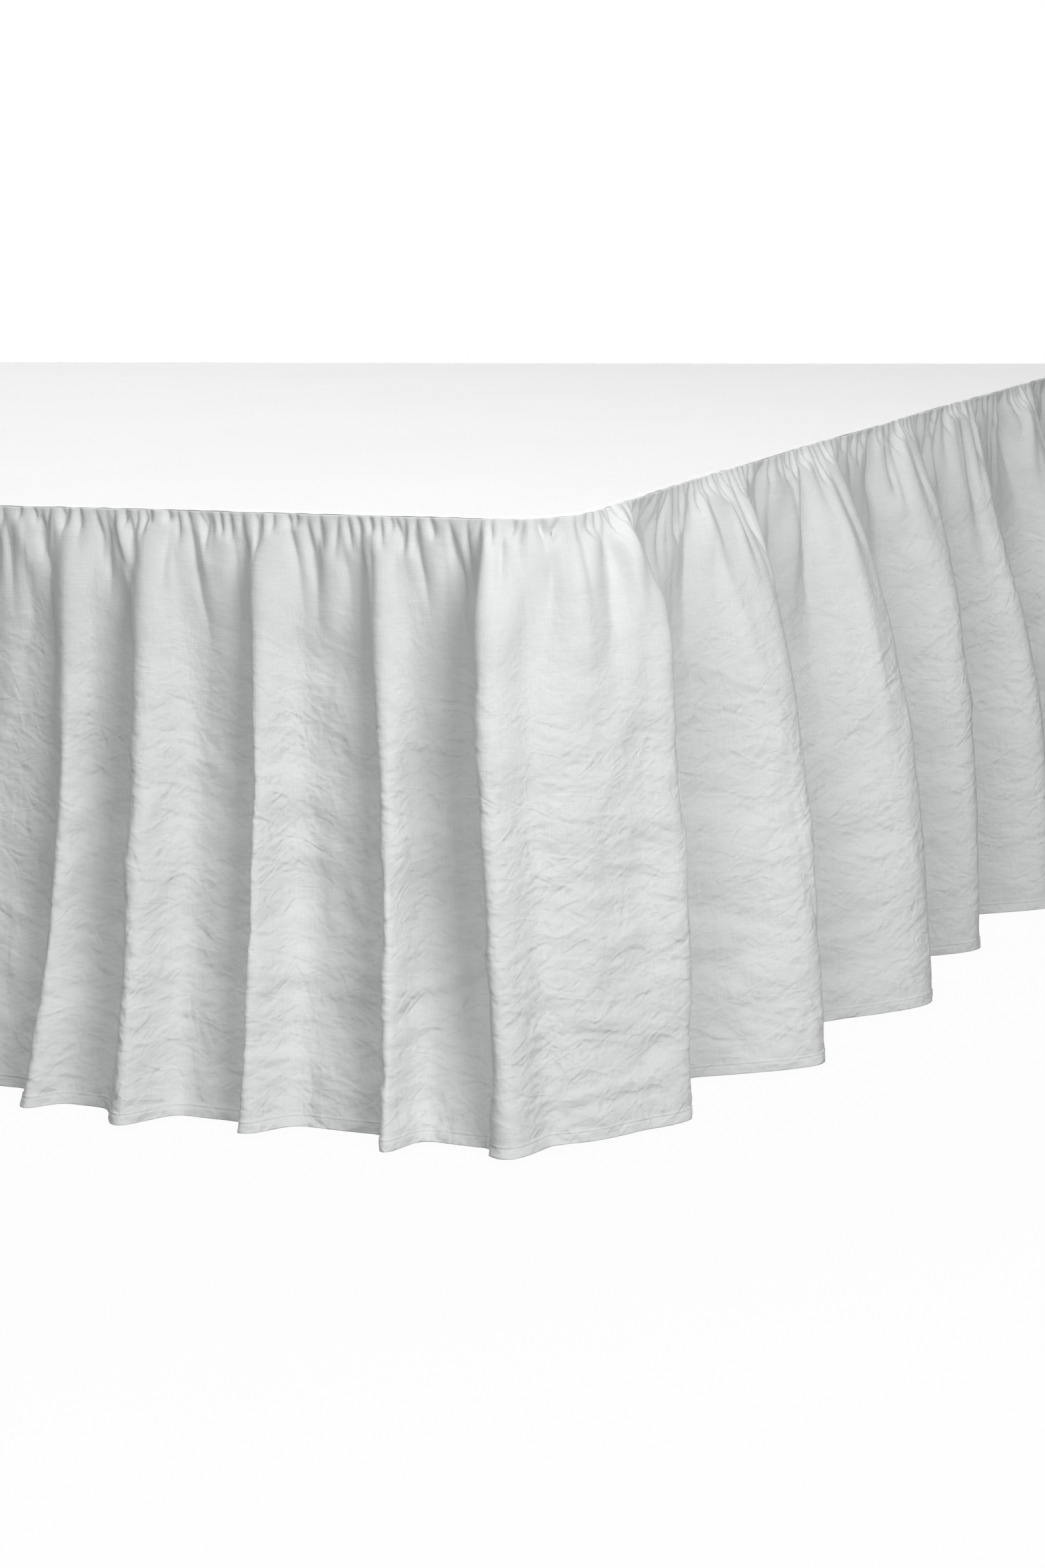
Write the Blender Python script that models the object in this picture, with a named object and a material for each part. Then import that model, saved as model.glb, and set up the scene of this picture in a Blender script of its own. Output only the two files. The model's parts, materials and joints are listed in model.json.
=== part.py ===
# Gathered bed skirt on a bed base: a flat deck over the base, with a ruffle that hangs from its edge to the floor.
# Metres, +Z up. The foot of the bed points along +X, the near long side along -Y.
# The origin is the middle of the whole part's footprint, on the floor.

import math
from collections import namedtuple

import bmesh
import bpy
from mathutils import Vector

MM = 0.001

# Bed base
BED_LENGTH = 1.900
BED_WIDTH = 1.350
BASE_TOP = 0.520
BASE_HEIGHT = 0.300
CORNER_RADIUS = 0.040
BASE_EDGE_ROUND = 0.008
LEG_RADIUS = 0.030
LEG_INSET = 0.110
LEG_SIDES = 32

# Cloth
CLOTH = 0.002
TOUCH_GAP = 0.0003
HEM_CLEARANCE = 0.006
DECK_OVER_SEAM = 0.001
SEAM_CLEARANCE = 0.007
SEAM_BULGE = 0.009
SEAM_BULGE_SPREAD = 0.230
SEAM_WAVE = 0.0012
SEAM_WAVE_PITCH = 0.310
GATHER_PUFF = 0.007
GATHER_DEPTH = 0.06

# How finely the ruffle is cut: heights as parts of the drop, and steps across each stretch of a fold
ROW_HEIGHTS = (0.0, 0.035, 0.11, 0.23, 0.40, 0.60, 0.81, 1.0)
FLANK_STEPS = 3
VALLEY_STEP = 0.040

# One fold of the ruffle, in millimetres. Places run along the seam from the near foot corner:
# negative towards the head on the near side, positive along the foot and then along the far side.
# seam and hem are the crest's place at the top and at the bottom, reach is how far the crest stands out
# at the hem, rise and fall are the widths of its two flanks, valley is the reach of the dip that follows.
# swell and dip say where the crest and the valley fill out: a small value just below the seam, zero evenly,
# and a negative one near the hem.
Fold = namedtuple("Fold", "seam hem reach rise fall valley swell dip")

# The folds around the near foot corner, each with its own shape
CORNER_FOLDS = (
    Fold(-580, -610, 88, 32, 34, 38, -0.9, -0.4),
    Fold(-450, -486, 84, 44, 34, 60, -0.6, -0.35),
    Fold(-372, -380, 100, 52, 42, 57, -2.0, -0.4),
    Fold(-258, -266, 83, 24, 42, 50, 0.0, -0.4),
    Fold(-150, -127, 89, 34, 24, 51, -1.0, -0.35),
    Fold(-38, -33, 72, 22, 18, 33, 0.25, 0.3),
    Fold(80, 75, 66, 58, 48, 14, 0.08, 0.0),
    Fold(320, 268, 108, 112, 75, 38, 0.40, -0.5),
    Fold(545, 489, 125, 145, 76, 42, 0.45, -0.5),
    Fold(745, 690, 103, 84, 74, 38, 0.45, -0.5),
    Fold(930, 880, 114, 86, 70, 44, 0.60, -0.5),
    Fold(1115, 1080, 104, 82, 60, 36, 0.50, -0.5),
    Fold(1310, 1305, 78, 60, 24, 34, 0.25, 0.3),
    Fold(1396, 1398, 80, 24, 30, 50, 0.25, -0.4),
)

# The rest of both long sides: how far on the next crest lies, then its shape as above
Repeat = namedtuple("Repeat", "pitch reach rise fall valley swell dip")
SIDE_FOLDS = (
    Repeat(112, 92, 30, 36, 54, -1.2, -0.35),
    Repeat(127, 100, 34, 40, 46, 0.0, -0.4),
    Repeat(104, 84, 28, 32, 58, 0.8, -0.4),
    Repeat(138, 96, 36, 44, 50, -1.6, -0.5),
    Repeat(118, 88, 30, 34, 56, 0.0, -0.35),
)

# Where the strips of cloth are joined end to end, in millimetres along the seam
NEAR_JOIN = -700
FAR_JOIN = 1680

Station = namedtuple("Station", "seam hem reach swell")


def clear_scene():
    for item in list(bpy.data.objects):
        bpy.data.objects.remove(item, do_unlink=True)


def make_material(name, colour, roughness):
    material = bpy.data.materials.new(name)
    material.use_nodes = True
    shader = material.node_tree.nodes["Principled BSDF"]
    shader.inputs["Base Color"].default_value = (*colour, 1.0)
    shader.inputs["Roughness"].default_value = roughness
    shader.inputs["Metallic"].default_value = 0.0
    return material


def add_object(name, mesh_data, material):
    mesh = bpy.data.meshes.new(name)
    mesh_data.to_mesh(mesh)
    mesh_data.free()
    mesh.materials.append(material)
    item = bpy.data.objects.new(name, mesh)
    bpy.context.scene.collection.objects.link(item)
    return item


def bed_outline(place, out):
    """The point of the bed's plan at a place along the seam, and a distance out from the base's side."""
    foot_side = BED_WIDTH - CORNER_RADIUS
    if place <= -CORNER_RADIUS:
        return Vector((place, -out))
    if place < CORNER_RADIUS:
        turn = math.radians(-90.0 + 90.0 * (place + CORNER_RADIUS) / (2.0 * CORNER_RADIUS))
        centre = Vector((-CORNER_RADIUS, CORNER_RADIUS))
    elif place <= foot_side:
        return Vector((out, place))
    elif place < BED_WIDTH + CORNER_RADIUS:
        turn = math.radians(90.0 * (place - foot_side) / (2.0 * CORNER_RADIUS))
        centre = Vector((-CORNER_RADIUS, foot_side))
    else:
        return Vector((BED_WIDTH - place, BED_WIDTH + out))
    return centre + (CORNER_RADIUS + out) * Vector((math.cos(turn), math.sin(turn)))


def seam_sway(place):
    """How far the seam stands out past its least clearance: more around the two foot corners."""
    sway = SEAM_WAVE * (1.0 + math.sin(math.tau * place / SEAM_WAVE_PITCH))
    for corner in (0.0, BED_WIDTH):
        sway += SEAM_BULGE * math.exp(-((place - corner) / SEAM_BULGE_SPREAD) ** 2)
    return sway


def repeat_folds(start, finish, direction):
    """Folds that carry on from the last one, by the repeating table, until the head of the bed."""
    folds = []
    crest = start
    index = 0
    while True:
        row = SIDE_FOLDS[index % len(SIDE_FOLDS)]
        crest += direction * row.pitch
        if direction * (crest + direction * row.fall - finish) > 0:
            return folds
        folds.append(Fold(crest, crest, *row[1:]))
        index += 1


def all_folds():
    head_near = -BED_LENGTH / MM
    head_far = (BED_WIDTH + BED_LENGTH) / MM
    before = repeat_folds(CORNER_FOLDS[0].hem, head_near, -1)
    after = repeat_folds(CORNER_FOLDS[-1].hem, head_far, 1)
    return list(reversed(before)) + list(CORNER_FOLDS) + after


def fold_stations(folds):
    """The crests and the two sides of each valley, in order along the seam, in metres."""
    first = folds[0]
    last = folds[-1]
    head_near = -BED_LENGTH / MM
    head_far = (BED_WIDTH + BED_LENGTH) / MM
    stations = [Station(head_near, head_near, first.valley, first.dip)]
    if first.hem - first.rise > head_near:
        stations.append(Station(first.seam - first.rise, first.hem - first.rise, first.valley, first.dip))
    for fold, following in zip(folds, folds[1:]):
        stations.append(Station(fold.seam, fold.hem, fold.reach, fold.swell))
        run = following.hem - fold.hem
        down = fold.fall
        up = run - following.rise
        if up - down < VALLEY_STEP / MM / 4:
            down = up = 0.5 * (down + up)
        for part in sorted({down, up}):
            seam = fold.seam + (following.seam - fold.seam) * part / run
            stations.append(Station(seam, fold.hem + part, fold.valley, fold.dip))
    stations.append(Station(last.seam, last.hem, last.reach, last.swell))
    stations.append(Station(last.seam + last.fall, last.hem + last.fall, last.valley, last.dip))
    stations.append(Station(head_far, head_far, last.valley, last.dip))
    return [Station(s.seam * MM, s.hem * MM, s.reach * MM, s.swell) for s in stations]


def fullness(part, swell):
    """The share of a fold's reach that it has at a part of the drop below the seam."""
    if swell == 0.0:
        return part
    return (1.0 - math.exp(-part / swell)) / (1.0 - math.exp(-1.0 / swell))


def ruffle_point(left, right, across, part):
    """A point of the ruffle's face between two stations, at a part of the drop."""
    seam = left.seam + (right.seam - left.seam) * across
    hem = left.hem + (right.hem - left.hem) * across
    blend = 0.5 - 0.5 * math.cos(math.pi * across)
    reach_left = left.reach * fullness(part, left.swell)
    reach_right = right.reach * fullness(part, right.swell)
    top = seam_sway(seam) + GATHER_PUFF * (1.0 - math.exp(-part / GATHER_DEPTH))
    out = SEAM_CLEARANCE + top * (1.0 - part) + reach_left + (reach_right - reach_left) * blend
    plan = bed_outline(seam + (hem - seam) * part, out)
    drop = BASE_TOP - HEM_CLEARANCE
    return Vector((plan.x, plan.y, BASE_TOP - drop * part))


def ruffle_columns(stations):
    """Every column of the ruffle's grid: the two stations it lies between, and how far across."""
    columns = []
    for left, right in zip(stations, stations[1:]):
        if left.reach == right.reach:
            steps = max(1, round((right.hem - left.hem) / VALLEY_STEP))
        else:
            steps = FLANK_STEPS
        columns += [(left, right, step / steps) for step in range(steps)]
    columns.append((stations[-2], stations[-1], 1.0))
    return columns


def split_columns(columns, join):
    """The columns before and after a join, which falls on the valley column nearest to it."""
    def distance(index):
        left, right, across = columns[index]
        if left.reach != right.reach and across > 0.0:
            return math.inf
        if left.reach > right.reach:
            return math.inf
        return abs(left.hem + (right.hem - left.hem) * across - join)
    at = min(range(len(columns)), key=distance)
    return columns[:at + 1], columns[at:]


def make_ruffle_strip(name, columns, material, trim_start, trim_end):
    """One strip of the ruffle: a grid on the folds, given the cloth's thickness towards the bed."""
    mesh_data = bmesh.new()
    grid = []
    for left, right, across in columns:
        grid.append([mesh_data.verts.new(ruffle_point(left, right, across, part)) for part in ROW_HEIGHTS])
    for trim, edge, inner in ((trim_start, grid[0], grid[1]), (trim_end, grid[-1], grid[-2])):
        if trim:
            for end, neighbour in zip(edge, inner):
                end.co += (neighbour.co - end.co).normalized() * TOUCH_GAP / 2
    for before, after in zip(grid, grid[1:]):
        for row in range(len(ROW_HEIGHTS) - 1):
            mesh_data.faces.new((before[row + 1], after[row + 1], after[row], before[row]))
    mesh_data.normal_update()
    strip = add_object(name, mesh_data, material)
    thicken = strip.modifiers.new("Cloth", "SOLIDIFY")
    thicken.thickness = CLOTH
    thicken.offset = -1.0
    strip.data.shade_smooth()
    return strip


def make_deck(material):
    """The flat sheet over the base, cut to the line of the seam."""
    mesh_data = bmesh.new()
    step = 0.025
    count = round((BED_WIDTH + 2.0 * BED_LENGTH) / step)
    ring = []
    for index in range(count + 1):
        place = -BED_LENGTH + (BED_WIDTH + 2.0 * BED_LENGTH) * index / count
        plan = bed_outline(place, SEAM_CLEARANCE + seam_sway(place) + DECK_OVER_SEAM)
        ring.append(mesh_data.verts.new((plan.x, plan.y, BASE_TOP + TOUCH_GAP)))
    face = mesh_data.faces.new(ring)
    raised = bmesh.ops.extrude_face_region(mesh_data, geom=[face])["geom"]
    lifted = [item for item in raised if isinstance(item, bmesh.types.BMVert)]
    bmesh.ops.translate(mesh_data, verts=lifted, vec=(0.0, 0.0, CLOTH))
    bmesh.ops.recalc_face_normals(mesh_data, faces=mesh_data.faces)
    return add_object("deck", mesh_data, material)


def make_base(material):
    """The plain bed base: a box with rounded foot corners and softened edges."""
    mesh_data = bmesh.new()
    arc_steps = 8
    outline = [Vector((-BED_LENGTH, BED_WIDTH)), Vector((-BED_LENGTH, 0.0))]
    for corner in (0.0, BED_WIDTH):
        for index in range(arc_steps + 1):
            place = corner + CORNER_RADIUS * (2.0 * index / arc_steps - 1.0)
            outline.append(bed_outline(place, 0.0))
    ring = [mesh_data.verts.new((p.x, p.y, BASE_TOP - BASE_HEIGHT)) for p in outline]
    face = mesh_data.faces.new(ring)
    raised = bmesh.ops.extrude_face_region(mesh_data, geom=[face])["geom"]
    lifted = [item for item in raised if isinstance(item, bmesh.types.BMVert)]
    bmesh.ops.translate(mesh_data, verts=lifted, vec=(0.0, 0.0, BASE_HEIGHT))
    bmesh.ops.recalc_face_normals(mesh_data, faces=mesh_data.faces)
    base = add_object("bed_base", mesh_data, material)
    soften = base.modifiers.new("Edges", "BEVEL")
    soften.width = BASE_EDGE_ROUND
    soften.segments = 2
    soften.limit_method = "ANGLE"
    return base


def make_leg(name, x, y, material):
    """A round leg from the floor to just below the base."""
    height = BASE_TOP - BASE_HEIGHT - TOUCH_GAP
    mesh_data = bmesh.new()
    bmesh.ops.create_cone(mesh_data, cap_ends=True, segments=LEG_SIDES, radius1=LEG_RADIUS,
                          radius2=LEG_RADIUS, depth=height)
    bmesh.ops.translate(mesh_data, verts=mesh_data.verts, vec=(x, y, height / 2.0))
    return add_object(name, mesh_data, material)


def centre_on_floor(items):
    """Moves the whole part so that the middle of its footprint is the origin."""
    bpy.context.view_layer.update()
    corners = [item.matrix_world @ Vector(corner) for item in items for corner in item.bound_box]
    middle_x = (min(c.x for c in corners) + max(c.x for c in corners)) / 2.0
    middle_y = (min(c.y for c in corners) + max(c.y for c in corners)) / 2.0
    for item in items:
        item.location = (-middle_x, -middle_y, 0.0)


def main():
    clear_scene()
    linen = make_material("washed_linen", (0.66, 0.68, 0.67), 0.90)
    cotton = make_material("white_cotton", (0.88, 0.88, 0.87), 0.90)
    upholstery = make_material("base_upholstery", (0.55, 0.54, 0.52), 0.95)
    wood = make_material("leg_wood", (0.42, 0.30, 0.19), 0.55)

    columns = ruffle_columns(fold_stations(all_folds()))
    near_columns, rest = split_columns(columns, NEAR_JOIN * MM)
    foot_columns, far_columns = split_columns(rest, FAR_JOIN * MM)

    items = [
        make_base(upholstery),
        make_deck(cotton),
        make_ruffle_strip("ruffle_near", near_columns, linen, False, True),
        make_ruffle_strip("ruffle_foot", foot_columns, linen, True, True),
        make_ruffle_strip("ruffle_far", far_columns, linen, True, False),
    ]
    number = 0
    for x in (-BED_LENGTH + LEG_INSET, -LEG_INSET):
        for y in (LEG_INSET, BED_WIDTH - LEG_INSET):
            number += 1
            items.append(make_leg(f"leg_{number}", x, y, wood))
    centre_on_floor(items)


main()
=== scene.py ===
import json
import math
from collections import namedtuple

import bmesh
import bpy
import numpy as np
from mathutils import Matrix, Vector

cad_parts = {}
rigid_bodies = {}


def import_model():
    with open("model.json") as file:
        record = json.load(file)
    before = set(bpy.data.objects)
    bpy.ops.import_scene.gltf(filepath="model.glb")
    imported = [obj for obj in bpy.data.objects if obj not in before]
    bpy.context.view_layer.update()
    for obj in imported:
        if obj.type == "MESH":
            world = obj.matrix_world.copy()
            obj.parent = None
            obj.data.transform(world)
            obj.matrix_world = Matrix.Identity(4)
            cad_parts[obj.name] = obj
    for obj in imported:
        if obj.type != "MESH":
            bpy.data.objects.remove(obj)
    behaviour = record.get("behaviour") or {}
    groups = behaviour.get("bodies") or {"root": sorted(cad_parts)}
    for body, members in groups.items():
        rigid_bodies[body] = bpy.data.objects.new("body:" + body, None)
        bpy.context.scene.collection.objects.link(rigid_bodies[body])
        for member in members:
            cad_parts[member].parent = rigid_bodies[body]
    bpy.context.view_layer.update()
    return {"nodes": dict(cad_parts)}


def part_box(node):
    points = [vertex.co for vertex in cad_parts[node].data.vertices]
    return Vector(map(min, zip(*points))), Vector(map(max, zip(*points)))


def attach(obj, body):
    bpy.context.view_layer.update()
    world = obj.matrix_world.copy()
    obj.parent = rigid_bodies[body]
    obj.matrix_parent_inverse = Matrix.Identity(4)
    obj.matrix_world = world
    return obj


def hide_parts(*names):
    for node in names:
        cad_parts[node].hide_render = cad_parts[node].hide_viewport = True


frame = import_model()
print("frame loaded:", len(frame["nodes"]), "nodes")

mm = 0.001
tau = math.tau

# Camera and bed

view = {
    "at": (2.120, -3.147, 0.864),  # metres
    "turn": 27.2,                  # degrees round from looking along +Y
    "down": 11.46,
    "roll": 2.25,
    "lens": 79.9,
    "sensor": 36.0,
}

bed = {
    "length": 1.900,
    "width": 1.350,
    "top": 0.520,
    "corner": 0.040,
    "shift": (0.884, -0.675),      # from the near foot corner to the middle of the part
}


def makeCamera():
    data = bpy.data.cameras.new("camera")
    data.sensor_fit = "VERTICAL"
    data.sensor_height = view["sensor"]
    data.lens = view["lens"]
    data.clip_end = 60.0
    camera = bpy.data.objects.new("camera", data)
    bpy.context.scene.collection.objects.link(camera)
    turn = Matrix.Rotation(math.radians(view["turn"]), 4, "Z")
    tip = Matrix.Rotation(math.radians(90.0 - view["down"]), 4, "X")
    roll = Matrix.Rotation(math.radians(-view["roll"]), 4, "Z")
    camera.matrix_world = Matrix.Translation(view["at"]) @ turn @ tip @ roll
    bpy.context.scene.camera = camera


makeCamera()
print("camera placed")

# Material building blocks


def addNode(tree, kind, place, values=None, **settings):
    # values gives each input a plain value, or the output that feeds it
    node = tree.nodes.new(kind)
    node.location = place
    for name, value in settings.items():
        setattr(node, name, value)
    for name, value in (values or {}).items():
        if isinstance(value, bpy.types.NodeSocket):
            tree.links.new(value, node.inputs[name])
        else:
            node.inputs[name].default_value = value
    return node


def mathNode(tree, place, operation, *values):
    return addNode(tree, "ShaderNodeMath", place, dict(enumerate(values)), operation=operation).outputs[0]


def newMaterial(name, roughness, sheen=0.0):
    material = bpy.data.materials.new(name)
    material.use_nodes = True
    shader = material.node_tree.nodes["Principled BSDF"]
    shader.inputs["Roughness"].default_value = roughness
    shader.inputs["Sheen Weight"].default_value = sheen
    shader.inputs["Sheen Roughness"].default_value = 0.5
    shader.inputs["Specular IOR Level"].default_value = 0.25
    return material, material.node_tree, shader


def newGroup(name, inputs, outputs):
    # inputs holds the name and value of each number, with None for a vector
    group = bpy.data.node_groups.new(name, "ShaderNodeTree")
    for socketName, value in inputs:
        kind = "NodeSocketVector" if value is None else "NodeSocketFloat"
        socket = group.interface.new_socket(socketName, in_out="INPUT", socket_type=kind)
        if value is not None:
            socket.default_value = value
    for socketName in outputs:
        group.interface.new_socket(socketName, in_out="OUTPUT", socket_type="NodeSocketFloat")
    return group, addNode(group, "NodeGroupInput", (-1200, 0)).outputs


def weaveGroup():
    # woven threads on flat-cloth coordinates in metres: height and shade of threads both ways, with slubs
    inputs = (("Flat", None), ("Thread", 0.00065), ("Slub Length", 0.03), ("Slub", 1.0))
    group, entry = newGroup("wovenThreads", inputs, ("Height", "Shade"))
    split = addNode(group, "ShaderNodeSeparateXYZ", (-1000, 100), {0: entry["Flat"]}).outputs
    waves = []
    slubs = []
    for row, (along, across) in enumerate((("X", "Y"), ("Y", "X"))):
        y = 300 - 500 * row
        share = mathNode(group, (-800, y), "DIVIDE", split[across], entry["Thread"])
        turns = mathNode(group, (-640, y), "MULTIPLY", share, tau / 2)
        waves.append(mathNode(group, (-480, y), "SINE", turns))
        length = mathNode(group, (-800, y - 180), "DIVIDE", split[along], entry["Slub Length"])
        place = addNode(group, "ShaderNodeCombineXYZ", (-480, y - 180), {
            "X": length, "Y": share, "Z": 3.7 * row})
        slub = addNode(group, "ShaderNodeTexNoise", (-300, y - 180), {
            "Vector": place.outputs[0], "Scale": 0.8, "Detail": 2.0, "Roughness": 0.6})
        slubs.append(slub.outputs["Fac"])
    cross = mathNode(group, (-300, 200), "MULTIPLY", *waves)
    both = mathNode(group, (-80, -150), "ADD", *slubs)
    centred = mathNode(group, (80, -150), "SUBTRACT", both, 1.0)
    scaled = mathNode(group, (240, -150), "MULTIPLY", centred, entry["Slub"])
    fine = mathNode(group, (240, 200), "MULTIPLY", cross, 0.25)
    height = mathNode(group, (440, 100), "ADD", fine, scaled)
    shade = mathNode(group, (440, -150), "ADD", scaled, 0.5)
    addNode(group, "NodeGroupOutput", (1000, 0), {"Height": height, "Shade": shade})
    return group


def mottleGroup():
    # slow, cloudy change over the surface, 0 to 1
    group, entry = newGroup("cloudyChange", (("Vector", None), ("Scale", 12.0)), ("Mask",))
    noise = addNode(group, "ShaderNodeTexNoise", (-350, 0), {
        "Vector": entry["Vector"], "Scale": entry["Scale"], "Detail": 4.0, "Roughness": 0.6})
    spread = addNode(group, "ShaderNodeMapRange", (0, 0), {
        "Value": noise.outputs["Fac"], "From Min": 0.3, "From Max": 0.7})
    addNode(group, "NodeGroupOutput", (300, 0), {"Mask": spread.outputs["Result"]})
    return group


# How small crumples lie: turn in radians, length and width in metres, share of the height
crumpleRows = (
    (0.35, 0.026, 0.012, 1.0),
    (-0.55, 0.022, 0.010, 0.9),
    (1.25, 0.030, 0.012, 0.7),
    (0.33, 0.056, 0.021, 1.5),
    (-0.36, 0.048, 0.019, 1.2),
)


def crumpleGroup():
    # small level and slanting crumples on flat-cloth coordinates in metres: height, sharp along their ridges
    group, entry = newGroup("smallCrumples", (("Flat", None),), ("Height",))
    total = None
    for row, (turn, long, wide, share) in enumerate(crumpleRows):
        y = 300 - 300 * row
        turned = addNode(group, "ShaderNodeMapping", (-900, y), {
            "Vector": entry["Flat"], "Location": (0.37 * row, 0.71 * row, 0.0), "Rotation": (0.0, 0.0, turn)})
        sized = addNode(group, "ShaderNodeMapping", (-650, y), {
            "Vector": turned.outputs["Vector"], "Scale": (1.0 / long, 1.0 / wide, 1.0)})
        noise = addNode(group, "ShaderNodeTexNoise", (-400, y), {
            "Vector": sized.outputs["Vector"], "Scale": 1.0, "Detail": 1.5, "Roughness": 0.45,
            "Distortion": 0.5})
        centred = mathNode(group, (-230, y), "SUBTRACT", noise.outputs["Fac"], 0.5)
        # the last number rounds the ridge's top
        square = mathNode(group, (-150, y), "MULTIPLY_ADD", centred, centred, 0.0012)
        sharp = mathNode(group, (-40, y), "SQRT", square)
        scaled = mathNode(group, (80, y), "MULTIPLY", sharp, -3.0 * share)
        total = scaled if total is None else mathNode(group, (300, y), "ADD", total, scaled)
    addNode(group, "NodeGroupOutput", (800, 0), {"Height": total})
    return group


woven = weaveGroup()
cloudy = mottleGroup()
crumpled = crumpleGroup()


def clothMaterial(name, look):
    material, tree, shader = newMaterial(name, look["roughness"], look["sheen"])
    coords = addNode(tree, "ShaderNodeTexCoord", (-1500, 0)).outputs
    threads = addNode(tree, "ShaderNodeGroup", (-1200, 200), {
        "Flat": coords["UV"], "Thread": look["thread"], "Slub Length": look["slubLength"],
        "Slub": look["slub"]}, node_tree=woven).outputs
    clouds = addNode(tree, "ShaderNodeGroup", (-1200, -100), {
        "Vector": coords["Object"], "Scale": look["cloudScale"]}, node_tree=cloudy)
    byThread = addNode(tree, "ShaderNodeMix", (-850, 200), {
        "Factor": threads["Shade"], "A": (*look["dark"], 1.0), "B": (*look["light"], 1.0)},
        data_type="RGBA")
    tone = addNode(tree, "ShaderNodeMapRange", (-850, -100), {
        "Value": clouds.outputs["Mask"], "To Min": 1.0 - look["cloud"], "To Max": 1.0})
    byCloud = addNode(tree, "ShaderNodeMix", (-550, 150), {
        "Factor": 1.0, "A": byThread.outputs["Result"], "B": tone.outputs["Result"]},
        data_type="RGBA", blend_type="MULTIPLY")
    tree.links.new(byCloud.outputs["Result"], shader.inputs["Base Color"])
    folded = addNode(tree, "ShaderNodeGroup", (-900, -450), {"Flat": coords["UV"]}, node_tree=crumpled)
    height = folded.outputs["Height"]
    if look["lower"]:
        # mostly on the cloth's lower part
        down = addNode(tree, "ShaderNodeSeparateXYZ", (-1200, -850), {0: coords["UV"]})
        fade = addNode(tree, "ShaderNodeMapRange", (-980, -850), {
            "Value": down.outputs["Y"], "From Min": look["lower"][0], "From Max": look["lower"][1],
            "To Min": 0.15, "To Max": 1.0})
        height = mathNode(tree, (-800, -800), "MULTIPLY", fade.outputs["Result"], height)
    patches = addNode(tree, "ShaderNodeGroup", (-1200, -650), {
        "Vector": coords["Object"], "Scale": 14.0}, node_tree=cloudy)
    gate = addNode(tree, "ShaderNodeMapRange", (-980, -650), {
        "Value": patches.outputs["Mask"], "To Min": 0.55, "To Max": 1.0})
    gated = mathNode(tree, (-750, -600), "MULTIPLY", height, gate.outputs["Result"])
    soft = addNode(tree, "ShaderNodeBump", (-650, -450), {
        "Strength": 1.0, "Distance": look["crumple"], "Height": gated})
    bump = addNode(tree, "ShaderNodeBump", (-400, -300), {
        "Strength": look["bump"], "Distance": look["depth"], "Height": threads["Height"],
        "Normal": soft.outputs["Normal"]})
    tree.links.new(bump.outputs["Normal"], shader.inputs["Normal"])
    return material


linen = clothMaterial("washedLinen", {
    "light": (0.735, 0.750, 0.745), "dark": (0.655, 0.672, 0.668),
    "roughness": 0.85, "sheen": 0.12,
    "thread": 0.00068, "slubLength": 0.024, "slub": 1.5,
    "cloudScale": 9.0, "cloud": 0.03,
    "bump": 0.55, "depth": 0.00030, "crumple": 0.00122, "lower": (-0.05, -0.20),
})
cotton = clothMaterial("whiteCotton", {
    "light": (0.90, 0.90, 0.895), "dark": (0.86, 0.862, 0.86),
    "roughness": 0.9, "sheen": 0.05,
    "thread": 0.00035, "slubLength": 0.010, "slub": 0.6,
    "cloudScale": 5.0, "cloud": 0.02,
    "bump": 0.25, "depth": 0.0002, "crumple": 0.00020, "lower": None,
})
upholstery = clothMaterial("baseCloth", {
    "light": (0.60, 0.59, 0.57), "dark": (0.48, 0.47, 0.45),
    "roughness": 0.92, "sheen": 0.1,
    "thread": 0.0016, "slubLength": 0.012, "slub": 1.6,
    "cloudScale": 6.0, "cloud": 0.05,
    "bump": 0.6, "depth": 0.0006, "crumple": 0.00005, "lower": None,
})
print("cloth materials made")

# The ruffle's folds

# One fold in millimetres. Places run along the seam from the near foot corner: negative towards the head on
# the near side, positive along the foot and then along the far side. seam and hem are the crest's place at
# the top and the bottom, reach is how far it stands out at the hem, rise and fall are the widths of its
# flanks, valley is the reach of the dip after it, swell and dip say how early on the way down the crest and
# the dip fill out.
Fold = namedtuple("Fold", "seam hem reach rise fall valley swell dip")
cornerFolds = (
    Fold(-580, -610, 88, 32, 34, 38, -0.9, -0.4),
    Fold(-450, -486, 84, 44, 34, 60, -0.6, -0.35),
    Fold(-372, -380, 100, 52, 42, 57, -2.0, -0.4),
    Fold(-258, -266, 83, 24, 42, 50, 0.0, -0.4),
    Fold(-150, -127, 89, 34, 24, 51, -1.0, -0.35),
    Fold(-38, -33, 72, 22, 18, 33, 0.25, 0.3),
    Fold(80, 75, 66, 58, 48, 14, 0.08, 0.0),
    Fold(320, 268, 108, 112, 75, 38, 0.40, -0.5),
    Fold(545, 489, 125, 145, 76, 42, 0.45, -0.5),
    Fold(745, 690, 103, 84, 74, 38, 0.45, -0.5),
    Fold(930, 880, 114, 86, 70, 44, 0.60, -0.5),
    Fold(1115, 1080, 104, 82, 60, 36, 0.50, -0.5),
    Fold(1310, 1305, 78, 60, 24, 34, 0.25, 0.3),
    Fold(1396, 1398, 80, 24, 30, 50, 0.25, -0.4),
)
Repeat = namedtuple("Repeat", "pitch reach rise fall valley swell dip")
sideFolds = (
    Repeat(112, 92, 30, 36, 54, -1.2, -0.35),
    Repeat(127, 100, 34, 40, 46, 0.0, -0.4),
    Repeat(104, 84, 28, 32, 58, 0.8, -0.4),
    Repeat(138, 96, 36, 44, 50, -1.6, -0.5),
    Repeat(118, 88, 30, 34, 56, 0.0, -0.35),
)

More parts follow.
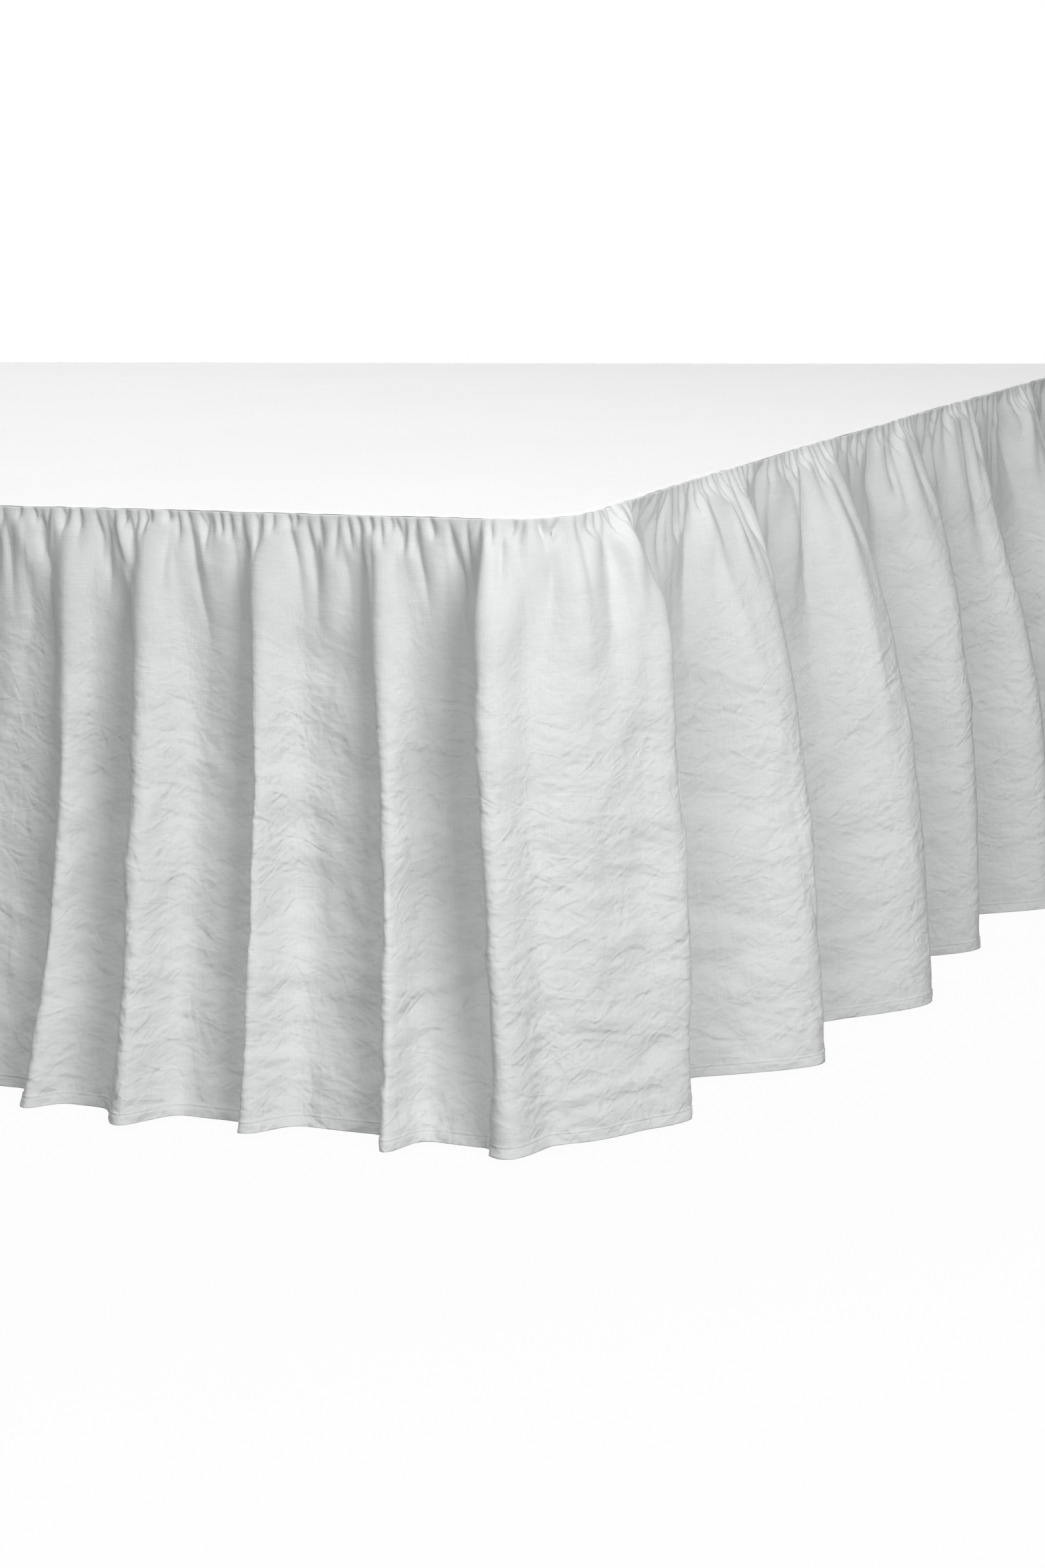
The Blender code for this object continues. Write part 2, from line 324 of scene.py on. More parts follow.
ruffle = {
    "hemHeight": 6.0 * mm,
    "clearance": 7.0 * mm,       # from the base's side to the seam
    "bulge": 9.0 * mm,           # more at the two foot corners
    "bulgeSpread": 0.230,
    "wave": 1.2 * mm,
    "wavePitch": 0.310,
    "puff": 7.0 * mm,            # the cloth billows out below the seam
    "puffDepth": 0.06,
    "least": 3.5 * mm,           # the cloth stays this far from the base's side
    "cornerReach": 46,           # millimetres either side of a corner without extra depth in the valleys
    "leastValley": 10.0,         # a valley narrower than this many millimetres has one lowest line
    # up to this place in metres, columns this close in millimetres
    "pitches": ((-0.640, 3.4), (0.500, 1.45), (1.150, 2.3), (4.000, 3.4)),
}
drop = bed["top"] - ruffle["hemHeight"]
# A crest or the side of a valley: deep is 1 in a valley and 0 on a crest
Station = namedtuple("Station", "seam hem reach swell deep")


def bedOutline(place, out):
    # the plan of the bed's edge at a place along the seam, a distance out from the base's side
    r = bed["corner"]
    w = bed["width"]
    near = np.clip((place + r) / (2.0 * r), 0.0, 1.0)
    far = np.clip((place - (w - r)) / (2.0 * r), 0.0, 1.0)
    turn = 0.25 * tau * (near + far - 1.0)
    middleX = -r + np.minimum(place + r, 0.0) - np.maximum(place - (w + r), 0.0)
    middleY = r + np.clip(place - r, 0.0, w - 2.0 * r)
    x = middleX + (r + out) * np.cos(turn) + bed["shift"][0]
    y = middleY + (r + out) * np.sin(turn) + bed["shift"][1]
    return x, y


def seamSway(place):
    sway = ruffle["wave"] * (1.0 + np.sin(tau * place / ruffle["wavePitch"]))
    for corner in (0.0, bed["width"]):
        sway = sway + ruffle["bulge"] * np.exp(-((place - corner) / ruffle["bulgeSpread"]) ** 2)
    return sway


def repeatFolds(start, finish, direction):
    folds = []
    crest = start
    while True:
        row = sideFolds[len(folds) % len(sideFolds)]
        crest += direction * row.pitch
        if direction * (crest + direction * row.fall - finish) > 0:
            return folds
        folds.append(Fold(crest, crest, *row[1:]))


def foldStations():
    headNear = -bed["length"] / mm
    headFar = (bed["width"] + bed["length"]) / mm
    before = repeatFolds(cornerFolds[0].hem, headNear, -1)
    after = repeatFolds(cornerFolds[-1].hem, headFar, 1)
    folds = before[::-1] + list(cornerFolds) + after
    first = folds[0]
    last = folds[-1]
    stations = [Station(headNear, headNear, first.valley, first.dip, 1.0)]
    if first.hem - first.rise > headNear:
        stations.append(Station(first.seam - first.rise, first.hem - first.rise,
                                first.valley, first.dip, 1.0))
    for fold, following in zip(folds, folds[1:]):
        stations.append(Station(fold.seam, fold.hem, fold.reach, fold.swell, 0.0))
        run = following.hem - fold.hem
        down = fold.fall
        up = run - following.rise
        atCorner = min(abs(fold.hem), abs(fold.hem - bed["width"] / mm)) < ruffle["cornerReach"]
        if up - down < ruffle["leastValley"]:
            down = up = 0.5 * (down + up)
        for part in sorted({down, up}):
            seam = fold.seam + (following.seam - fold.seam) * part / run
            deep = 0.0 if atCorner else 1.0
            stations.append(Station(seam, fold.hem + part, fold.valley, fold.dip, deep))
    stations.append(Station(last.seam, last.hem, last.reach, last.swell, 0.0))
    stations.append(Station(last.seam + last.fall, last.hem + last.fall, last.valley, last.dip, 1.0))
    stations.append(Station(headFar, headFar, last.valley, last.dip, 1.0))
    return stations


stations = foldStations()
stationSeam = np.array([s.seam for s in stations]) * mm
stationHem = np.array([s.hem for s in stations]) * mm
stationReach = np.array([s.reach for s in stations]) * mm
stationSwell = np.array([s.swell if s.swell else 1000.0 for s in stations])
stationDeep = np.array([s.deep for s in stations])


def fullness(part, swell):
    return (1.0 - np.exp(-part / swell)) / (1.0 - np.exp(-1.0 / swell))


def smoothStep(t):
    t = np.clip(t, 0.0, 1.0)
    return t * t * (3.0 - 2.0 * t)


def softNoise(u, v, seed):
    # smooth hills and hollows between -1 and 1, one to each unit
    table = np.random.default_rng(seed).uniform(-1.0, 1.0, (256, 256))
    i = np.floor(u).astype(int)
    j = np.floor(v).astype(int)
    a = u - i
    b = v - j
    a = a * a * a * (a * (a * 6.0 - 15.0) + 10.0)
    b = b * b * b * (b * (b * 6.0 - 15.0) + 10.0)
    low = table[i & 255, j & 255] * (1.0 - a) + table[(i + 1) & 255, j & 255] * a
    high = table[i & 255, (j + 1) & 255] * (1.0 - a) + table[(i + 1) & 255, (j + 1) & 255] * a
    return low * (1.0 - b) + high * b


def bareRuffle(hemPlace, depth, distanceOnly=False):
    # the smooth folds alone, or their distance from the base's side: hemPlace and depth below the seam are
    # arrays that broadcast together
    part = depth / drop
    left = np.clip(np.searchsorted(stationHem, hemPlace, side="right") - 1, 0, len(stationHem) - 2)
    across = (hemPlace - stationHem[left]) / (stationHem[left + 1] - stationHem[left])
    seam = stationSeam[left] + (stationSeam[left + 1] - stationSeam[left]) * across
    blend = 0.5 - 0.5 * np.cos(0.5 * tau * across)
    reachLeft = stationReach[left] * fullness(part, stationSwell[left])
    reachRight = stationReach[left + 1] * fullness(part, stationSwell[left + 1])
    top = seamSway(seam) + ruffle["puff"] * (1.0 - np.exp(-part / ruffle["puffDepth"]))
    out = ruffle["clearance"] + top * (1.0 - part) + reachLeft + (reachRight - reachLeft) * blend
    if distanceOnly:
        return out
    x, y = bedOutline(seam + (hemPlace - seam) * part, out)
    z = bed["top"] - depth + 0.0 * x
    return np.stack([x, y, z], axis=-1)


# Creases

# One soft trough (depth above 0) or ridge (below 0) of the cloth, in millimetres. place, mid and foot are
# where its path lies along the seam at its start, where it is fullest and at its end. start, full and end
# are depths below the seam, top and low its widths at both ends. skew above 0 makes its right side the
# steeper one.
Crease = namedtuple("Crease", "place mid foot start full end depth top low skew")

gathers = {
    "pitch": (6.0, 14.0),           # least pitch and its spread
    "short": (14, 44, 2.6, 6.2),    # least and most length, least and most depth
    "long": (50, 100, 5.0, 7.5),
    "longShare": 0.22,
    "width": (1.5, 3.4, 6.0),       # at the seam, at the foot of a short one and of a long one
    "placed": (-35, 65, 26.0),      # among the corner fold's cones, from here to here, at most this long
    "deeper": (-40, 1.15, 1.5),     # share of their depth before this place and after it
}

# Wider folds that the gathers run together into on the way down
Cascade = namedtuple("Cascade", "pitch full depth top low")
cascades = (
    Cascade(27, 34, 4.6, 3.0, 6.5),
    Cascade(52, 80, 6.0, 5.0, 11.0),
    Cascade(100, 150, 5.0, 9.0, 20.0),
)

# Where creases are listed one by one, in millimetres along the seam, and the share that the chance ones keep
# there on the near side and on the foot side
handPlaced = (-530, 1130)
handShare = (0.5, 0.6)
headsPlaced = (-500, 1120)

# Long soft pulls in the lower half
pulls = {"pitch": 20, "down": (90, 500), "length": (70, 230), "depth": (1.0, 3.2), "width": (3.5, 9.0)}


def gatherCreases(first, last):
    chance = np.random.default_rng(11)
    rows = []
    place = first
    while place < last:
        place += (gathers["pitch"][0] + gathers["pitch"][1] * chance.beta(1.2, 2.4)) * mm
        long = chance.random() < gathers["longShare"]
        least, most, shallow, deep = gathers["long" if long else "short"]
        length = chance.uniform(least, most)
        lean = chance.normal(0.0, 0.11) * length
        bend = chance.normal(0.0, 0.05) * length
        here = place / mm
        low, high, longest = gathers["placed"]
        if low < here < high:
            length = min(length, longest)
        change, before, after = gathers["deeper"]
        deep = chance.uniform(shallow, deep) * (after if here > change else before)
        rows.append(Crease(here, here + 0.4 * lean + bend, here + lean, -3, 0.35 * length, length, deep,
                           gathers["width"][0], gathers["width"][2 if long else 1],
                           chance.uniform(-0.5, 0.5)))
    return rows


def cascadeCreases(first, last):
    chance = np.random.default_rng(23)
    rows = []
    for kind in cascades:
        place = first + kind.pitch * mm * 0.4
        while place < last:
            full = kind.full * chance.uniform(0.75, 1.3)
            size = kind.depth * chance.uniform(0.45, 1.3)
            lean = chance.normal(0.0, 0.14) * full
            here = place / mm
            if handPlaced[0] < here < handPlaced[1]:
                size *= handShare[0 if here < 0 else 1]
            rows.append(Crease(here, here + lean, here + 0.6 * lean, 0, full, full * 2.6, size,
                               kind.top, kind.low, chance.uniform(-0.6, 0.6)))
            place += kind.pitch * mm * chance.uniform(0.65, 1.4)
    return rows


def pullCreases(first, last):
    chance = np.random.default_rng(37)
    rows = []
    place = first
    while place < last:
        length = chance.uniform(*pulls["length"])
        start = chance.uniform(pulls["down"][0], pulls["down"][1] - length)
        here = place / mm
        lean = chance.normal(0.0, 0.12) * length
        side = chance.choice((-1.0, 1.0), p=(0.4, 0.6))
        rows.append(Crease(here - lean, here, here + lean,
                           start, start + length * chance.uniform(0.35, 0.65), start + length,
                           side * chance.uniform(*pulls["depth"]), chance.uniform(*pulls["width"]),
                           chance.uniform(*pulls["width"]), chance.uniform(-0.7, 0.7)))
        place += pulls["pitch"] * mm * chance.uniform(0.5, 1.5)
    return rows


def foldHeads():
    # a ridge down each fold's head and a trough beside it, where none are listed
    rows = []
    for station in stations:
        here = station.seam
        if station.deep or headsPlaced[0] < here < headsPlaced[1]:
            continue
        side = 1.0 if here > 0 else -1.0
        beside = here + 20 * side
        rows.append(Crease(here, here, here, 0, 60, 330, -6.0, 7, 14, 0.5 * side))
        rows.append(Crease(beside, beside, here + 18 * side, -2, 60, 340, 7.0, 5, 13, -0.5 * side))
    return rows


def creaseField(seam, depth, rows):
    # how far the creases push the cloth in, at sorted places along the seam (down) and depths (across)
    total = np.zeros((len(seam), len(depth)))
    for row in rows:
        start, full, end = row.start * mm, row.full * mm, row.end * mm
        level = np.where(depth < full, smoothStep((depth - start) / (full - start)),
                         1.0 - smoothStep((depth - full) / (end - full)))
        way = np.clip((depth - start) / (end - start), 0.0, 1.0)
        share = min(max((full - start) / (end - start), 0.25), 0.75)
        bent = (row.mid - (1 - share) ** 2 * row.place - share ** 2 * row.foot) / (2 * share * (1 - share))
        middle = ((1 - way) ** 2 * row.place + 2 * way * (1 - way) * bent + way ** 2 * row.foot) * mm
        width = (row.top + (row.low - row.top) * way) * mm
        reach = 6.0 * max(row.top, row.low) * mm
        low, high = np.searchsorted(seam, (middle.min() - reach, middle.max() + reach))
        if high <= low:
            continue
        away = (seam[low:high, None] - middle[None, :]) / width[None, :]
        away = away / np.where(away > 0, 1.0 - 0.6 * row.skew, 1.0 + 0.6 * row.skew)
        # a trough is sharper along its bottom than a ridge along its top, and both have wide soft feet
        if row.depth > 0:
            shape = 0.65 * np.exp(-np.abs(away) ** 1.4) + 0.35 * np.exp(-(away / 2.2) ** 2)
        else:
            shape = 0.7 * np.exp(-away ** 2) + 0.3 * np.exp(-(away / 2.0) ** 2)
        total[low:high] += row.depth * mm * level[None, :] * shape
    return total


# The creases that show most, listed one by one
mainCreases = [Crease(*row) for row in (
    # near side, from the head end to the foot corner
    (-604, -600, -596, -4, 60, 190, 4.0, 3, 9, 0),
    (-520, -516, -512, -2, 36, 110, 4.0, 3, 6, 0),
    (-506, -498, -486, 2, 34, 90, -3.0, 5, 8, 0),
    (-486, -482, -458, -2, 24, 78, 4.5, 2.5, 5, 0.3),
    (-470, -476, -474, 10, 100, 340, 7.0, 5, 12, 0.6),
    (-450, -450, -450, 0, 70, 300, -4.0, 12, 22, -0.4),
    (-428, -428, -430, 10, 36, 70, 2.0, 3, 5, 0),
    (-416, -406, -378, -2, 26, 72, 5.0, 2.5, 5, 0.3),
    (-406, -398, -386, 2, 34, 92, -3.5, 4, 7, 0),
    (-392, -390, -374, -2, 22, 60, 5.5, 2.5, 4, 0.2),
    (-388, -394, -397, 36, 110, 330, 6.5, 5, 12, 0.6),
    (-372, -372, -370, 2, 70, 300, -4.0, 12, 22, -0.4),
    (-348, -349, -350, 26, 55, 92, -3.0, 8, 9, 0),
    (-334, -329, -316, -2, 28, 152, 5.5, 2.8, 7, 0),
    (-326, -320, -314, 2, 28, 80, -3.0, 4, 7, 0),
    (-312, -311, -309, -2, 10, 34, 4.0, 2.2, 3.5, 0),
    (-279, -275, -279, -2, 40, 330, 6.5, 3.5, 12, 0.6),
    (-258, -258, -258, 2, 70, 300, -4.0, 12, 22, -0.4),
    (-236, -230, -226, -2, 26, 90, 4.5, 2.5, 6, 0),
    (-205, -209, -214, -2, 34, 130, 5.0, 3, 8, 0),
    (-166, -168, -168, -2, 50, 330, 7.0, 4, 12, 0.6),
    (-146, -146, -150, 2, 70, 300, -4.5, 12, 22, -0.4),
    (-118, -112, -108, -2, 30, 110, 4.5, 2.5, 6, 0),
    (-84, -80, -76, -2, 40, 150, 5.0, 3, 8, 0.3),
    (-40, -40, -40, 2, 80, 300, -2.0, 14, 22, -0.3),
    (-27, -24, -24, -2, 22, 70, 5.0, 2.6, 6, 0),
    (-8, -6, -8, -2, 16, 48, 4.5, 2.4, 5, 0),
    (-28, -26, -30, 4, 46, 140, -6.5, 9, 15, 0),
    (5, -3, -20, 6, 56, 190, 12.0, 6, 15, 0.4),
    (26, 16, 10, 2, 56, 180, -6.5, 7, 13, 0),
    (47, 38, 30, -2, 44, 190, 12.0, 4.5, 10, -0.5),
    (57, 47, 42, 6, 60, 220, -6.5, 6, 12, 0.5),
    # the dark valleys between the near side's folds
    (-78, -84, -94, 20, 250, 560, 9.0, 9, 16, 0.2),
    (-164, -176, -186, 20, 240, 560, 6.0, 8, 14, 0.2),
    (-398, -402, -404, 20, 240, 560, 6.0, 8, 14, 0.2),
    (-466, -462, -460, 20, 240, 560, 6.0, 8, 14, 0.2),
    # foot side
    (108, 94, 68, -2, 24, 74, 11.7, 5, 10, 0),
    (8, 8, 4, -2, 18, 60, 5.0, 2.6, 6, 0),
    (26, 22, 18, -2, 22, 86, 5.5, 3, 8, 0),
    (50, 38, 40, -2, 24, 110, 6.5, 3, 8, 0),
    (54, 50, 46, 2, 24, 80, -3.0, 4, 7, 0),
    (70, 57, 54, 2, 36, 120, -4.5, 5, 8, 0.7),
    (92, 84, 80, 2, 56, 380, 24.0, 19, 22, -0.4),
    (160, 150, 140, -2, 30, 150, 10.4, 14, 18, 0),
    (86, 78, 74, -2, 26, 84, 9.8, 4, 10, 0),
    (122, 112, 104, -2, 30, 110, 10.4, 4.5, 11, 0),
    (138, 108, 66, 0, 14, 34, 6.0, 10.5, 15, 0),
    (176, 170, 168, -2, 40, 150, 6.8, 4, 10, 0),
    (242, 230, 224, -2, 44, 230, 13.4, 5, 15, 0),
    (230, 215, 198, 24, 44, 68, -3.0, 6, 10, 0.5),
    (250, 257, 256, 2, 44, 132, -4.5, 5, 9, 0),
    (303, 292, 300, 10, 50, 112, -3.5, 5, 8, 0),
    (342, 326, 314, 6, 60, 260, -4.5, 12, 20, 0.6),
    (372, 352, 342, 2, 50, 330, 15.6, 14, 18, -0.4),
    (262, 268, 294, 60, 120, 250, -4.0, 7, 12, 0),
    (404, 408, 396, -2, 20, 80, 12.0, 4, 9, 0),
    (478, 458, 446, 0, 60, 230, -5.0, 9, 16, 0.6),
    (487, 474, 470, -2, 60, 320, 14.2, 5, 16, -0.4),
    (518, 517, 516, 10, 90, 260, -5.0, 7, 13, 0),
    (578, 586, 584, -2, 34, 120, 6.8, 3, 7.5, 0),
    (640, 664, 682, 30, 84, 210, -4.0, 9, 15, 0.5),
    (678, 688, 686, 50, 116, 250, 8.2, 6.5, 12.5, -0.3),
    (679, 677, 675, -2, 22, 90, 12.0, 4, 10, 0),
    (724, 719, 714, -2, 22, 90, 12.0, 4, 10, 0),
    (728, 712, 696, 4, 50, 132, -4.0, 6, 10, 0.6),
    (790, 768, 752, 6, 100, 320, -7.0, 15, 20, 0),
    (828, 850, 872, 6, 70, 230, -5.0, 7, 12, 0),
    (899, 896, 890, 4, 60, 230, -5.0, 10, 17, 0.6),
    (916, 908, 898, 2, 60, 250, 13.4, 6.5, 16, -0.4),
    (962, 968, 966, -2, 34, 120, 6.8, 3, 7.5, 0),
    (1016, 1036, 1060, 4, 74, 260, -5.0, 10, 18, 0.6),
    (1044, 1054, 1062, -2, 20, 90, 12.0, 4, 10, 0),
    (1056, 1070, 1076, 20, 80, 310, 13.4, 8, 17.5, -0.4),
    (1112, 1096, 1096, 2, 36, 160, -5.0, 6, 11, 0),
)]

# Soft dents and short slanting creases low on the folds, in millimetres: place along the seam and depth of
# the middle, length and width, degrees that it leans from level (right end up), and depth
Dent = namedtuple("Dent", "place down long wide lean depth")
dents = [Dent(*row) for row in (
    # corner fold
    (18, 484, 76, 8, 4, 2.6),
    (16, 473, 68, 8, 5, -1.5),
    (8, 432, 42, 17, -38, 2.8),
    (22, 416, 36, 15, -25, -1.8),
    (-10, 440, 30, 14, 0, 1.6),
    (-14, 400, 34, 12, 20, 1.6),
    (36, 380, 40, 14, 15, 1.8),
    (4, 352, 44, 14, -20, 1.6),
    (44, 448, 30, 10, 25, 1.6),
    # near side
    (-125, 402, 78, 11, 28, 2.2),
    (-128, 390, 74, 11, 28, -1.6),
    (-150, 458, 40, 11, -20, 1.8),
    (-222, 395, 60, 11, 20, 2.0),
    (-242, 445, 50, 10, -25, 2.0),
    (-215, 472, 44, 9, 15, -1.6),
    (-250, 340, 46, 11, 30, 1.7),
    (-350, 380, 50, 10, -20, 1.9),
    (-362, 440, 44, 10, 25, 1.9),
    (-440, 420, 44, 10, 20, 1.8),
    (-470, 470, 50, 9, -10, 1.6),
    # foot side
    (242, 482, 48, 13, -50, 2.4),
    (150, 440, 60, 13, -15, 2.0),
    (210, 420, 70, 13, 15, 2.2),
    (260, 380, 60, 13, -20, 2.0),
    (186, 350, 60, 13, 25, 1.9),
    (450, 470, 50, 11, -20, 2.0),
    (470, 425, 60, 13, 20, 2.2),
    (425, 370, 60, 13, -25, 2.0),
    (680, 420, 60, 13, 20, 2.2),
    (650, 470, 60, 12, -15, 2.0),
)]

crumple = {
    "top": (0.30, 0.20),           # its share just below the seam, and metres down to where it is full
    "soft": 2.7 * mm,              # hills about 90 mm across
    "fine": 1.0 * mm,              # hills about 30 mm across
    "slant": 1.5 * mm,             # long soft hills, leaning both ways
    "slantSize": (0.075, 0.027),   # metres along and across
    "sharp": 1.4 * mm,             # slanting ridges of washed linen
    "small": 0.5 * mm,             # the same, half the size
    "ridgeSize": (0.080, 0.032),
    "ridgeBend": (0.014, 0.045),   # how far the ridges waver, and over what length
    "ridgePatch": 0.09,            # they come in patches about this wide
    "ridgeIn": (0.02, 0.05),       # metres below the seam where they start, and over which they come in
    "ridgeFull": (0.10, 0.26),
    "calm": 0.80,                  # how much less of all this the folds' crests have
    "face": (0.02, 0.035),         # the corner fold's broad face is as crumpled as any: middle and half width
    "billow": 3.5 * mm,            # slow unevenness of the folds
    "billowSize": (0.13, 0.30),
    "billowIn": (0.06, 0.25),
    "deepen": 14.0 * mm,           # the valleys' extra depth half-way down
    "puff": 3.2 * mm,              # how far the cloth stands out under the seam, and a fifth of it lower down
    "puffOut": (30 * mm, 120 * mm),
    "fromSeam": (0.2 * mm, 1.2 * mm),   # nothing of all this at the seam itself
}
# Noises of the crumples, with sizes in metres, leans in radians and seeds
hills = (("soft", 0.045, 0.055, 7.3, 32), ("fine", 0.016, 0.018, 3.1, 33))
slants = ((0.35, 41), (-0.45, 42))
ridges = (
    ("sharp", 1.0, 0.9, 34), ("sharp", 1.0, -0.7, 35), ("sharp", 1.0, 0.2, 36),
    ("small", 0.5, 0.45, 37), ("small", 0.5, -0.35, 38), ("small", 0.5, 1.2, 39),
)

hem = {
    "band": 10.0 * mm,
    "proud": 0.80 * mm,
    "step": 0.9 * mm,           # height over which the band comes out
    "stitchDown": 1.6 * mm,     # from the band's top edge to the stitches
    "stitchGroove": 0.60 * mm,
    "grooveWidth": 0.8 * mm,
    "stitchFrom": 2.0 * mm,     # from the ends of the strip to the first and last stitch
    "pucker": 0.65 * mm,
    "puckerPitch": 15.0 * mm,
    "puckerTall": (9.0 * mm, 6.0 * mm),
    "turnUp": 0.9 * mm,         # how far behind the face the hem's inner layer lies
}


def ridged(noise):
    # soft ridges with flat slopes between them
    return 1.0 - 2.0 * np.sqrt(noise * noise + 0.012)


def fadeIn(value, start, run):
    return smoothStep((value - start) / run)


def turned(a, b, lean):
    # the same place, along and across a direction that leans
    return a * math.cos(lean) + b * math.sin(lean), b * math.cos(lean) - a * math.sin(lean)


def crumples(a, b):
    # the washed cloth's unevenness at places along the hem and depths
    face = np.exp(-((a - crumple["face"][0]) / crumple["face"][1]) ** 2)
    crest = (1.0 - np.interp(a, stationHem, stationDeep)) * (1.0 - face)
    calm = 1.0 - crumple["calm"] * crest ** 2
    share, full = crumple["top"]
    amount = (share + (1.0 - share) * smoothStep(b / full)) * calm
    creased = fadeIn(b, *crumple["ridgeIn"]) * (0.3 + 0.7 * fadeIn(b, *crumple["ridgeFull"])) * calm
    wide, tall = crumple["billowSize"]
    total = crumple["billow"] * fadeIn(b, *crumple["billowIn"]) * softNoise(a / wide, b / tall, 31)
    for size, wide, tall, shift, seed in hills:
        total = total + crumple[size] * amount * softNoise(a / wide + shift, b / tall, seed)
    long, wide = crumple["slantSize"]
    for lean, seed in slants:
        along, over = turned(a, b, lean)
        total = total + crumple["slant"] * amount * softNoise(along / long, over / wide, seed)
    long, wide = crumple["ridgeSize"]
    bend, length = crumple["ridgeBend"]
    patch = crumple["ridgePatch"]
    for size, grain, lean, seed in ridges:
        along, over = turned(a, b, lean)
        bent = over + grain * bend * softNoise(along / (grain * length), over / (grain * length), seed + 20)
        line = ridged(softNoise(along / (grain * long), bent / (grain * wide), seed))
        gate = smoothStep(softNoise(along / patch, over / patch, seed + 40) * 1.3 + 0.5)
        total = total + crumple[size] * creased * (0.3 + 0.7 * gate) * (line - 0.3)
    return total


def hemRelief(a, up):
    # the turned hem stands out, and its stitches pull in and pucker the cloth above
    band = smoothStep((hem["band"] - up) / hem["step"] + 0.5)
    groove = np.exp(-((up - hem["band"] + hem["stitchDown"]) / hem["grooveWidth"]) ** 2)
    slant = (a + 0.5 * up) / hem["puckerPitch"]
    tall, low = hem["puckerTall"]
    ripple = softNoise(slant, up / tall + 5.0, 51) + 0.6 * softNoise(slant * 2.3, up / low, 52)
    puckered = smoothStep((3.0 * hem["band"] - up) / (2.0 * hem["band"]))
    return hem["proud"] * band - hem["stitchGroove"] * groove + hem["pucker"] * ripple * puckered


def clothDetail(seam, hemPlace, depth, rows):
    # how far the cloth stands out past its bare folds, in metres
    s = seam[:, None]
    d = depth[None, :]
    total = crumple["puff"] * (1.0 - 0.8 * fadeIn(d, *crumple["puffOut"])) - creaseField(seam, depth, rows)
    deep = np.interp(hemPlace, stationHem, stationDeep)[:, None]
    total = total - crumple["deepen"] * smoothStep(deep) * np.sin(0.4 * tau * d / drop)
    for dent in dents:
        along, over = turned(s - dent.place * mm, d - dent.down * mm, -math.radians(dent.lean))
        along = along / (0.5 * dent.long * mm)
        over = over / (0.5 * dent.wide * mm)
        total = total - dent.depth * mm * np.exp(-along ** 4) * np.exp(-over ** 2)
    a = hemPlace[:, None] + 0.0 * d
    b = d + 0.0 * s
    return (total + crumples(a, b)) * fadeIn(d, *crumple["fromSeam"]) + hemRelief(a, drop - d)


def ruffleSkin(hemPlace, depth, rows, behind=0.0):
    # finished points of the ruffle's face for each place along the hem (down) and each depth (across)
    seam = np.interp(hemPlace, stationHem, stationSeam)
    h = hemPlace[:, None]
    d = depth[None, :]
    step = 0.4 * mm
    alongHem = bareRuffle(h + step, d) - bareRuffle(h - step, d)
    downward = bareRuffle(h, np.minimum(d + step, drop)) - bareRuffle(h, np.maximum(d - step, 0.0))
    normal = np.cross(downward, alongHem)
    normal /= np.linalg.norm(normal, axis=-1, keepdims=True)
    detail = clothDetail(seam, hemPlace, depth, rows)
    out = np.maximum(detail, ruffle["least"] - bareRuffle(h, d, True)) - behind
    return bareRuffle(h, d) + normal * out[..., None], normal


def meshObject(name, points, faces, material, flat=None):
    mesh = bpy.data.meshes.new(name)
    mesh.from_pydata([tuple(p) for p in points], [], faces)
    mesh.materials.append(material)
    if flat is not None:
        layer = mesh.uv_layers.new(name="flatCloth")
        corners = np.zeros(len(mesh.loops), dtype=np.int32)
        mesh.loops.foreach_get("vertex_index", corners)
        layer.data.foreach_set("uv", np.asarray(flat, dtype=np.float32)[corners].ravel())
    mesh.shade_smooth()
    mesh.update()
    item = bpy.data.objects.new(name, mesh)
    bpy.context.scene.collection.objects.link(item)
    return item


# Heights of the ruffle's rows, in millimetres below the seam: closest under the seam and at the hem
topRows = [0.0, 0.6, 1.3, 2.1, 3.2, 4.6, 6.2, 8.0, 10.0, 12.3, 15.0, 18.0, 21.0, 24.5, 28.0, 32.0, 36.0,
           40.5, 45.0, 50.0, 55.0, 60.5, 66.0, 72.0, 78.0, 85.0, 92.0]
hemRows = [13.0, 11.2, 10.3, 9.6, 9.0, 8.4, 7.6, 6.2, 4.4, 2.4, 0.8, 0.0]   # above the hem's edge
turnedRows = [0.4, 3.5, 9.0]                                             # up the hem's inner layer
lowerRowStep = 4.6


def joinRows(topGrid, lowGrid):
    # faces of a fine grid over a grid with half as many columns, whose first row is the fine grid's last
    faces = []
    grids = []
    start = 0
    for count, rows in (topGrid, lowGrid):
        grid = start + np.arange(count * rows).reshape(count, rows)
        quads = np.stack([grid[:-1, :-1], grid[:-1, 1:], grid[1:, 1:], grid[1:, :-1]], axis=-1)
        faces += quads.reshape(-1, 4).tolist()
        grids.append(grid)
        start += grid.size
    top, low = grids
    for index in range(len(low) - 1):
        a, m, b = top[2 * index, -1], top[2 * index + 1, -1], top[2 * index + 2, -1]
        c, e = low[index, 0], low[index + 1, 0]
        faces += [[a, c, m], [m, c, e], [m, e, b]]
    return faces


